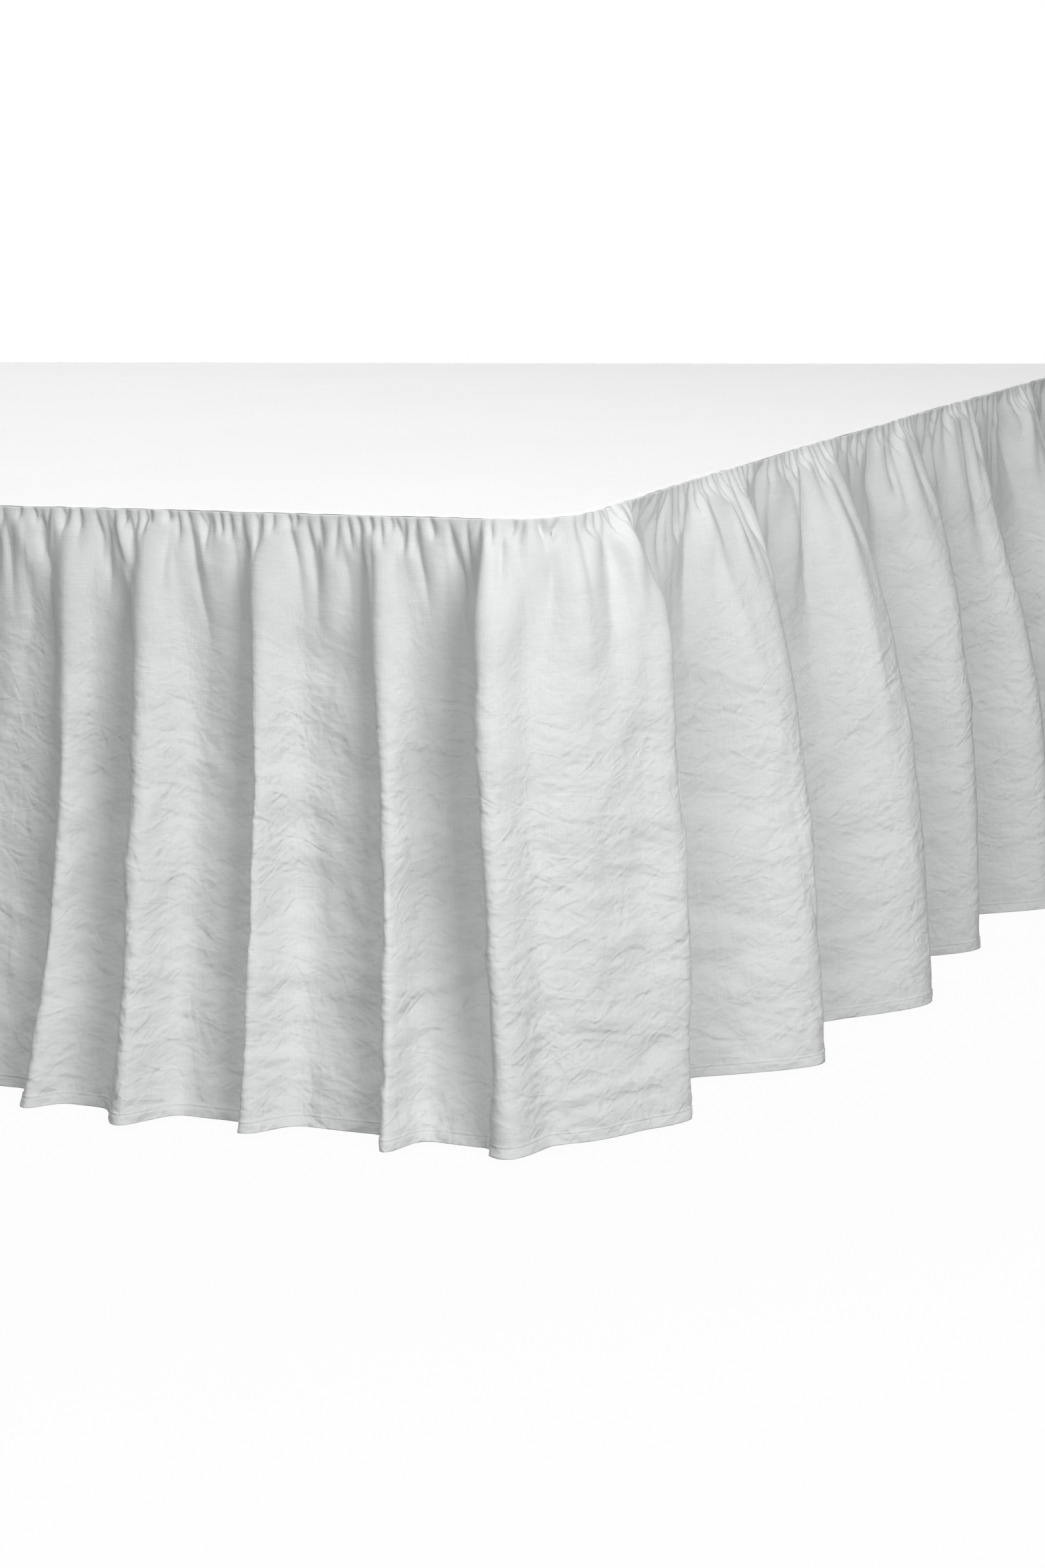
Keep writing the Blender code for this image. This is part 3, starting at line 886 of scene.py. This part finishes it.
def makeRuffle(name, first, last, rows):
    # columns at even steps along the seam, twice as close under the gathers as in the long folds
    places = [first]
    while places[-1] < last:
        pitch = next(close for upTo, close in ruffle["pitches"] if places[-1] < upTo)
        places.append(places[-1] + 2.0 * pitch * mm)
    places[-1] = last
    lowSeam = np.array(places)
    topSeam = np.interp(np.arange(2 * len(places) - 1) / 2.0, np.arange(len(places)), lowSeam)
    topHem = np.interp(topSeam, stationSeam, stationHem)
    lowHem = topHem[::2]
    topDepth = np.array(topRows) * mm
    lowestFree = drop - hemRows[0] * mm
    count = round((lowestFree - topDepth[-1]) / (lowerRowStep * mm))
    free = topDepth[-1] + (lowestFree - topDepth[-1]) * np.arange(1, count) / count
    lowDepth = np.concatenate([free, drop - np.array(hemRows) * mm])
    topPoints, _ = ruffleSkin(topHem, topDepth, rows)
    lowPoints, _ = ruffleSkin(lowHem, lowDepth, rows)
    inside, _ = ruffleSkin(lowHem, drop - np.array(turnedRows) * mm, rows, hem["turnUp"])
    lowAll = np.concatenate([lowPoints, inside], axis=1)
    cloth = np.concatenate([topPoints.reshape(-1, 3), lowAll.reshape(-1, 3)])
    faces = joinRows(topPoints.shape[:2], lowAll.shape[:2])
    middle = lowPoints[:, len(free) // 2]
    across = np.concatenate([[0.0], np.cumsum(np.linalg.norm(np.diff(middle, axis=0), axis=1))])
    topU = np.interp(np.arange(len(topSeam)) / 2.0, np.arange(len(across)), across)
    lowV = np.concatenate([lowDepth, drop + np.array(turnedRows) * mm])
    flatTop = np.stack(np.broadcast_arrays(topU[:, None], -topDepth[None, :]), axis=-1).reshape(-1, 2)
    flatLow = np.stack(np.broadcast_arrays(across[:, None], -lowV[None, :]), axis=-1).reshape(-1, 2)
    item = meshObject(name, cloth, faces, linen, np.concatenate([flatTop, flatLow]))
    print(name, "has", len(faces), "faces, flat width", round(float(across[-1]), 3), "m")
    return item, float(across[-1])


stitch = {
    "pitch": 3.1 * mm,
    "length": 2.2 * mm,
    "thick": 0.42 * mm,
    "tall": 0.34 * mm,
    "proud": 0.10 * mm,
    # share of the length and share of the width at each ring
    "rings": ((-0.5, 0.35), (-0.28, 1.0), (0.28, 1.0), (0.5, 0.35)),
}


def atRun(places, run, values):
    # values at lengths along a line, for which run gives the length at each of its points
    return np.stack([np.interp(places, run, values[:, k]) for k in range(3)], axis=-1)


def hemStitches(name, first, last, rows):
    # short raised threads in the groove at the top of the hem, all in one piece
    fineHem = np.arange(first, last, 0.8 * mm)
    depth = np.array([drop - hem["band"] + hem["stitchDown"]])
    line, normal = ruffleSkin(fineHem, depth, rows)
    line = line[:, 0]
    normal = normal[:, 0]
    run = np.concatenate([[0.0], np.cumsum(np.linalg.norm(np.diff(line, axis=0), axis=1))])
    middles = np.arange(stitch["pitch"], run[-1] - stitch["pitch"], stitch["pitch"])
    rings = []
    for share, width in stitch["rings"]:
        places = middles + share * stitch["length"]
        centre = atRun(places, run, line)
        ahead = atRun(places + 0.3 * mm, run, line) - centre
        ahead /= np.linalg.norm(ahead, axis=1, keepdims=True)
        outward = atRun(places, run, normal)
        upward = np.cross(outward, ahead)
        for turn in range(4):
            angle = 0.25 * tau * (turn + 0.5)
            rings.append(centre + width * 0.5 * (stitch["thick"] * math.cos(angle) * upward
                                                 + stitch["tall"] * math.sin(angle) * outward)
                         + outward * stitch["proud"])
    points = np.stack(rings, axis=1).reshape(-1, 3)
    faces = []
    for index in range(len(middles)):
        base = 16 * index
        for ring in range(3):
            for turn in range(4):
                a = base + 4 * ring + turn
                b = base + 4 * ring + (turn + 1) % 4
                faces.append((a, b, b + 4, a + 4))
        faces.append((base + 3, base + 2, base + 1, base))
        faces.append((base + 12, base + 13, base + 14, base + 15))
    item = meshObject(name, points, faces, thread)
    print(name, "has", len(middles), "stitches")
    return item


def threadMaterial():
    material, tree, shader = newMaterial("hemThread", 0.7, 0.1)
    coords = addNode(tree, "ShaderNodeTexCoord", (-900, 0))
    noise = addNode(tree, "ShaderNodeTexNoise", (-700, 0), {
        "Vector": coords.outputs["Object"], "Scale": 900.0, "Detail": 2.0})
    shade = addNode(tree, "ShaderNodeMix", (-400, 0), {
        "Factor": noise.outputs["Fac"], "A": (0.60, 0.615, 0.61, 1.0), "B": (0.74, 0.75, 0.745, 1.0)},
        data_type="RGBA")
    tree.links.new(shade.outputs["Result"], shader.inputs["Base Color"])
    return material


thread = threadMaterial()
headNear = -bed["length"]
headFar = bed["width"] + bed["length"]
creases = (gatherCreases(headNear, headFar) + cascadeCreases(headNear, headFar)
           + pullCreases(headNear, headFar) + foldHeads() + mainCreases)
gap = 0.2 * mm
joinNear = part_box("ruffle_near")[1].x - bed["shift"][0]
joinFar = bed["width"] - (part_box("ruffle_far")[1].x - bed["shift"][0])
strips = (
    ("ruffleNear", "ruffle_near", headNear, joinNear),
    ("ruffleFoot", "ruffle_foot", joinNear + gap, joinFar - gap),
    ("ruffleFar", "ruffle_far", joinFar, headFar),
)
print("creases:", len(creases), "joins at", round(joinNear, 3), round(joinFar, 3))
for name, node, first, last in strips:
    item, flatWidth = makeRuffle(name, first, last, creases)
    firstHem, lastHem = np.interp((first, last), stationSeam, stationHem)
    stitches = hemStitches(name + "Stitches", firstHem + hem["stitchFrom"], lastHem - hem["stitchFrom"],
                           creases)
    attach(item, "root")
    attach(stitches, "root")
    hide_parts(node)
print("ruffle made")

# Deck

deckShape = {
    "lift": 0.6 * mm,          # the middle of the cloth above the base's top
    "roll": 0.6 * mm,          # the edge turns down over the seam by this much
    "rollIn": 1.6 * mm,
    "overSeam": 1.4 * mm,
    "ridge": 0.7 * mm,         # the seam's turned-in cloth lies under the deck
    "ridgeIn": 9.0 * mm,
    "ridgeWidth": 3.0 * mm,
    "pitch": 5.0 * mm,
    "inner": 16,               # rows from the edge's own ones to the middle line
    "pucker": 0.35 * mm,       # along the edge
    "puckerIn": 12.0 * mm,
    "puckerSize": (0.011, 0.020),
    "wrinkle": 0.5 * mm,
    # low wrinkles over the rest: width both ways, metres in from the edge where they are full, share, seed
    "wrinkles": ((0.16, 0.22, 0.05, 0.7, 62), (0.05, 0.07, 0.03, 0.25, 63)),
}
# Millimetres in from the edge
deckInsets = [0.0, 0.5, 1.2, 2.2, 3.6, 5.2, 7.0, 9.0, 11.0, 13.5, 17.0, 22.0, 30.0, 45.0]


def makeDeck():
    count = round((headFar - headNear) / deckShape["pitch"])
    place = headNear + (headFar - headNear) * np.arange(count + 1) / count
    outer = ruffle["clearance"] + seamSway(place) + deckShape["overSeam"]
    loops = [np.stack(bedOutline(place, outer - inset * mm), axis=-1) for inset in deckInsets]
    half = 0.5 * bed["width"]
    spineX = np.minimum(np.where(place < half, place, bed["width"] - place), -half) + bed["shift"][0]
    spine = np.stack([spineX, np.full_like(spineX, half + bed["shift"][1])], axis=-1)
    steps = deckShape["inner"]
    innermost = loops[-1]
    for index in range(1, steps + 1):
        t = (index / steps) ** 0.8
        loops.append(innermost * (1.0 - t) + spine * t)
    plan = np.stack(loops, axis=1)
    inward = np.array(deckInsets + [60.0 + 40.0 * k for k in range(steps)]) * mm
    along = place[:, None] + 0.0 * inward[None, :]
    deep = inward[None, :] + 0.0 * place[:, None]
    rolled = (1.0 - smoothStep(deep / deckShape["rollIn"])) ** 1.5
    z = bed["top"] + deckShape["lift"] - deckShape["roll"] * rolled
    z = z + deckShape["ridge"] * np.exp(-((deep - deckShape["ridgeIn"]) / deckShape["ridgeWidth"]) ** 2)
    long, wide = deckShape["puckerSize"]
    pucker = softNoise(along / long, deep / wide, 61) * np.exp(-deep / deckShape["puckerIn"])
    z = z + deckShape["pucker"] * pucker
    for long, wide, full, share, seed in deckShape["wrinkles"]:
        wrinkle = softNoise(plan[..., 0] / long, plan[..., 1] / wide, seed) * smoothStep(deep / full)
        z = z + deckShape["wrinkle"] * share * np.abs(wrinkle)
    points = np.concatenate([plan, z[..., None]], axis=-1)
    index = np.arange(z.size).reshape(z.shape)
    quads = np.stack([index[:-1, :-1], index[1:, :-1], index[1:, 1:], index[:-1, 1:]], axis=-1)
    item = meshObject("deckCloth", points.reshape(-1, 3), quads.reshape(-1, 4).tolist(), cotton,
                      points[..., :2].reshape(-1, 2))
    work = bmesh.new()
    work.from_mesh(item.data)
    bmesh.ops.remove_doubles(work, verts=work.verts, dist=1e-5)
    work.to_mesh(item.data)
    work.free()
    return item


deck = makeDeck()
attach(deck, "root")
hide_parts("deck")
print("deck made")

# Bed base

base = {
    "corner": 0.040,
    "edge": 0.010,
    "piping": 3.2 * mm,        # its radius, and how far its middle lies inside the base's side
    "pipingIn": 0.6 * mm,
    "pipingFrom": 12.0 * mm,   # from the base's upper, lower and head edges
}


def deselectAll():
    for item in bpy.context.view_layer.objects:
        item.select_set(False)


def startPiece(name, material):
    item = bpy.context.active_object
    item.name = name
    item.data.name = name
    item.data.materials.append(material)
    return item


def pickOnly(item):
    deselectAll()
    item.select_set(True)
    bpy.context.view_layer.objects.active = item


def applyPlace(item):
    pickOnly(item)
    bpy.ops.object.transform_apply(location=True, rotation=True, scale=True)


def bevelEdges(item, wanted, offset, segments):
    # in edit mode, the edges for whose two ends wanted says yes
    bpy.ops.mesh.select_all(action="DESELECT")
    work = bmesh.from_edit_mesh(item.data)
    for edge in work.edges:
        edge.select_set(wanted(edge.verts[0].co, edge.verts[1].co))
    bmesh.update_edit_mesh(item.data)
    bpy.ops.mesh.bevel(offset=offset, segments=segments, affect="EDGES")


def boxMap(item):
    # flat-cloth coordinates in metres, by the way each face looks
    layer = item.data.uv_layers.active or item.data.uv_layers.new(name="flatCloth")
    for face in item.data.polygons:
        axis = max(range(3), key=lambda k: abs(face.normal[k]))
        for corner in face.loop_indices:
            point = item.data.vertices[item.data.loops[corner].vertex_index].co
            layer.data[corner].uv = [(point.y, point.z), (point.x, point.z), (point.x, point.y)][axis]


def makeBase():
    low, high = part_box("bed_base")
    size = high - low
    deselectAll()
    bpy.ops.mesh.primitive_cube_add(size=1.0, location=(low + high) / 2)
    item = startPiece("paddedBase", upholstery)
    item.scale = size
    applyPlace(item)
    bpy.ops.object.mode_set(mode="EDIT")
    bevelEdges(item, lambda a, b: abs(a.z - b.z) > 0.1 and a.x > 0, base["corner"], 10)
    bevelEdges(item, lambda a, b: abs(a.z - b.z) < 1e-5 or max(a.x, b.x) < low.x + 1e-4, base["edge"], 4)
    bpy.ops.object.mode_set(mode="OBJECT")
    item.data.shade_smooth()
    pickOnly(item)
    bpy.ops.object.shade_smooth_by_angle(angle=math.radians(40))
    boxMap(item)
    return item


def makePiping():
    # a round cord in cloth along the base's upper and lower edges
    low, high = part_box("bed_base")
    rings = []
    inset = base["pipingFrom"]
    for level in (low.z + inset, high.z - inset):
        place = np.linspace(headNear + inset, headFar - inset, 420)
        x, y = bedOutline(place, np.full_like(place, -base["pipingIn"]))
        line = np.stack([x, y, np.full_like(x, level)], axis=-1)
        head = np.linspace(line[-1], line[0], 60)[1:-1]
        head[:, 0] = low.x + base["pipingIn"]
        rings.append(np.concatenate([line, head]))
    points = []
    faces = []
    sides = 10
    for ring in rings:
        start = len(points)
        count = len(ring)
        ahead = np.roll(ring, -1, axis=0) - np.roll(ring, 1, axis=0)
        ahead /= np.linalg.norm(ahead, axis=1, keepdims=True)
        upward = np.array((0.0, 0.0, 1.0))
        outward = np.cross(ahead, upward)
        for index in range(count):
            for side in range(sides):
                angle = tau * side / sides
                around = math.cos(angle) * outward[index] + math.sin(angle) * upward
                points.append(ring[index] + base["piping"] * around)
        for index in range(count):
            for side in range(sides):
                a = start + index * sides + side
                b = start + index * sides + (side + 1) % sides
                c = start + ((index + 1) % count) * sides + (side + 1) % sides
                e = start + ((index + 1) % count) * sides + side
                faces.append((a, b, c, e))
    item = meshObject("basePiping", points, faces, upholstery)
    boxMap(item)
    return item


paddedBase = makeBase()
piping = makePiping()
for item in (paddedBase, piping):
    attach(item, "root")
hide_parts("bed_base")
print("base made")

# Legs


def woodMaterial():
    material, tree, shader = newMaterial("turnedWood", 0.45)
    coords = addNode(tree, "ShaderNodeTexCoord", (-1300, 0))
    mapping = addNode(tree, "ShaderNodeMapping", (-1100, 0), {
        "Vector": coords.outputs["Object"], "Scale": (1.0, 1.0, 0.08)})
    grain = addNode(tree, "ShaderNodeTexNoise", (-850, 100), {
        "Vector": mapping.outputs["Vector"], "Scale": 160.0, "Detail": 5.0, "Distortion": 0.6})
    colour = addNode(tree, "ShaderNodeMix", (-500, 100), {
        "Factor": grain.outputs["Fac"], "A": (0.30, 0.19, 0.10, 1.0), "B": (0.52, 0.38, 0.24, 1.0)},
        data_type="RGBA")
    bump = addNode(tree, "ShaderNodeBump", (-300, -200), {
        "Strength": 0.3, "Distance": 0.0003, "Height": grain.outputs["Fac"]})
    tree.links.new(colour.outputs["Result"], shader.inputs["Base Color"])
    tree.links.new(bump.outputs["Normal"], shader.inputs["Normal"])
    return material


wood = woodMaterial()

leg = {
    "sides": 48,
    # share of the leg's height from the floor, share of its full radius
    "profile": ((0.000, 0.66), (0.012, 0.72), (0.030, 0.74), (0.034, 0.70), (0.20, 0.74), (0.62, 0.86),
                (0.80, 0.92), (0.815, 0.86), (0.835, 0.86), (0.85, 0.97), (0.875, 1.00), (0.95, 1.00),
                (0.985, 0.98), (1.000, 0.94)),
}


def makeLeg(node, name):
    low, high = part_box(node)
    centre = (low + high) / 2
    radius = (high.x - low.x) / 2
    tall = high.z - low.z
    deselectAll()
    share, width = leg["profile"][0]
    bpy.ops.mesh.primitive_circle_add(vertices=leg["sides"], radius=radius * width, fill_type="NGON",
                                      location=(centre.x, centre.y, low.z))
    item = startPiece(name, wood)
    applyPlace(item)
    bpy.ops.object.mode_set(mode="EDIT")
    bpy.ops.mesh.select_all(action="SELECT")
    for (before, was), (after, now) in zip(leg["profile"], leg["profile"][1:]):
        bpy.ops.mesh.extrude_region_move(TRANSFORM_OT_translate={"value": (0, 0, tall * (after - before))})
        bpy.ops.transform.resize(value=(now / was, now / was, 1.0),
                                 center_override=(centre.x, centre.y, low.z + tall * after))
    bpy.ops.mesh.select_all(action="SELECT")
    bpy.ops.mesh.normals_make_consistent(inside=False)
    bpy.ops.object.mode_set(mode="OBJECT")
    bpy.ops.object.shade_smooth_by_angle(angle=math.radians(35))
    return item


for number in range(1, 5):
    node = f"leg_{number}"
    item = makeLeg(node, f"turnedLeg{number}")
    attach(item, "root")
    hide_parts(node)
print("legs made")

# Floor and light

studio = {
    "floor": (0.32, 0.32, 0.32),
    "glow": (0.97, 1.0),       # how much of the floor that is seen is plain white, by the bed and far from it
    "glowFrom": (1.2, 2.6),    # metres from the middle of the bed
    "seen": 1.0,               # strength of the white behind the bed
    "worldStrength": 0.02,     # its light on the cloth
    "key": ((3.030, -2.202, 1.499), 1.4, 60.0),    # place, size and power
    "front": ((1.450, -3.330, 1.500), 1.4, 30.0),
    "side": ((3.289, 0.754, 1.499), 1.4, 4.0),
    "above": ((0.0, -0.2, 3.4), 3.4, 79.5),
    "behind": ((-2.6, 2.9, 2.2), 1.4, 60.0),       # for the sides that the main view doesn't show
    "aim": (0.6, -0.5, 0.3),
}


def floorMaterial():
    # pale and matt, and near white where the camera sees it
    material, tree, shader = newMaterial("paleFloor", 0.9)
    shader.inputs["Base Color"].default_value = (*studio["floor"], 1.0)
    glow = addNode(tree, "ShaderNodeEmission", (0, -300), {"Strength": 1.0})
    ray = addNode(tree, "ShaderNodeLightPath", (-400, 400))
    coords = addNode(tree, "ShaderNodeTexCoord", (-900, 200))
    away = addNode(tree, "ShaderNodeVectorMath", (-650, 200), {0: coords.outputs["Object"]},
                   operation="LENGTH")
    far = addNode(tree, "ShaderNodeMapRange", (-400, 200), {
        "Value": away.outputs["Value"],
        "From Min": studio["glowFrom"][0], "From Max": studio["glowFrom"][1],
        "To Min": studio["glow"][0], "To Max": studio["glow"][1]})
    share = mathNode(tree, (-150, 400), "MULTIPLY", ray.outputs["Is Camera Ray"], far.outputs["Result"])
    mixed = addNode(tree, "ShaderNodeMixShader", (400, 0), {
        "Fac": share, 1: shader.outputs[0], 2: glow.outputs[0]})
    tree.links.new(mixed.outputs[0], tree.nodes["Material Output"].inputs["Surface"])
    return material


def makeStage():
    deselectAll()
    bpy.ops.mesh.primitive_plane_add(size=60.0, location=(0, 0, 0))
    floor = bpy.context.active_object
    floor.name = "floor"
    floor.data.materials.append(floorMaterial())
    world = bpy.data.worlds.new("studio")
    world.use_nodes = True
    tree = world.node_tree
    ray = addNode(tree, "ShaderNodeLightPath", (-600, 0))
    strength = addNode(tree, "ShaderNodeMapRange", (-300, 0), {
        "Value": ray.outputs["Is Camera Ray"],
        "To Min": studio["worldStrength"], "To Max": studio["seen"]})
    tree.links.new(strength.outputs["Result"], tree.nodes["Background"].inputs["Strength"])
    tree.nodes["Background"].inputs["Color"].default_value = (1.0, 1.0, 1.0, 1.0)
    bpy.context.scene.world = world
    for name in ("key", "front", "side", "above", "behind"):
        place, size, power = studio[name]
        data = bpy.data.lights.new(name, "AREA")
        data.shape = "DISK"
        data.size = size
        data.energy = power
        lamp = bpy.data.objects.new(name, data)
        lamp.location = place
        aim = Vector(studio["aim"]) - Vector(place)
        lamp.rotation_euler = aim.to_track_quat("-Z", "Y").to_euler()
        bpy.context.scene.collection.objects.link(lamp)


makeStage()
bpy.context.scene.view_settings.view_transform = "Standard"
print("stage and lights made")
